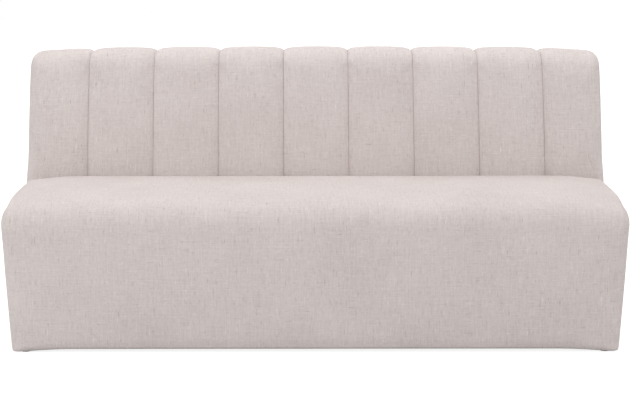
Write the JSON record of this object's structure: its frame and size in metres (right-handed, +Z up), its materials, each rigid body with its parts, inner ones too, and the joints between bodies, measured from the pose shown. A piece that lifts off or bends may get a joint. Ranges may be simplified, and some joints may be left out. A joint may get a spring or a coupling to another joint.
{
  "type": "armless sofa",
  "caption": "Armless sofa with an upright channelled back, a waterfall seat and a skirted base, fully covered in a pale linen weave.",
  "frame": {"origin": "on the floor, under the middle of the sofa's width and depth", "axes": "+X to the sitter's left along the sofa's width, +Y to the rear, +Z up; the seat faces -Y"},
  "size_m": [1.93, 0.7999, 0.878],
  "materials": {
    "linen_cover": "matte linen weave",
    "seat_foam": "open cell foam",
    "wadding": "soft polyester wadding",
    "plywood": "raw birch plywood",
    "pine": "raw softwood",
    "steel": "bright wire",
    "jute": "woven jute",
    "black_felt": "needled felt",
    "glide_plastic": "moulded"
  },
  "bodies": {
    "root": {"seat_cover": "linen_cover", "left_end_cover": "linen_cover", "right_end_cover": "linen_cover", "left_back_end_cover": "linen_cover", "right_back_end_cover": "linen_cover", "outside_back_cover": "linen_cover", "channel_cover_1": "linen_cover", "channel_cover_2": "linen_cover", "channel_cover_3": "linen_cover", "channel_cover_4": "linen_cover", "channel_cover_5": "linen_cover", "channel_cover_6": "linen_cover", "channel_cover_7": "linen_cover", "channel_cover_8": "linen_cover", "channel_cover_9": "linen_cover", "seat_foam": "seat_foam", "front_padding": "wadding", "left_end_padding": "wadding", "right_end_padding": "wadding", "left_back_padding": "wadding", "right_back_padding": "wadding", "channel_filling_1": "wadding", "channel_filling_2": "wadding", "channel_filling_3": "wadding", "channel_filling_4": "wadding", "channel_filling_5": "wadding", "channel_filling_6": "wadding", "channel_filling_7": "wadding", "channel_filling_8": "wadding", "channel_filling_9": "wadding", "left_end_frame": "plywood", "right_end_frame": "plywood", "left_middle_frame": "plywood", "right_middle_frame": "plywood", "front_board": "plywood", "front_spring_rail": "pine", "rear_spring_rail": "pine", "front_bottom_rail": "pine", "rear_bottom_rail": "pine", "back_top_rail": "pine", "back_lower_rail": "pine", "corner_blocks": "pine", "seat_springs": "steel", "spring_clips": "steel", "spring_tie_wires": "steel", "frame_screws": "steel", "glide_screws": "steel", "webbing_across": "jute", "webbing_upright": "jute", "back_hessian": "jute", "seat_felt": "black_felt", "dust_cover": "black_felt", "corner_glides": "glide_plastic", "middle_glides": "glide_plastic"}
  },
  "joints": []
}
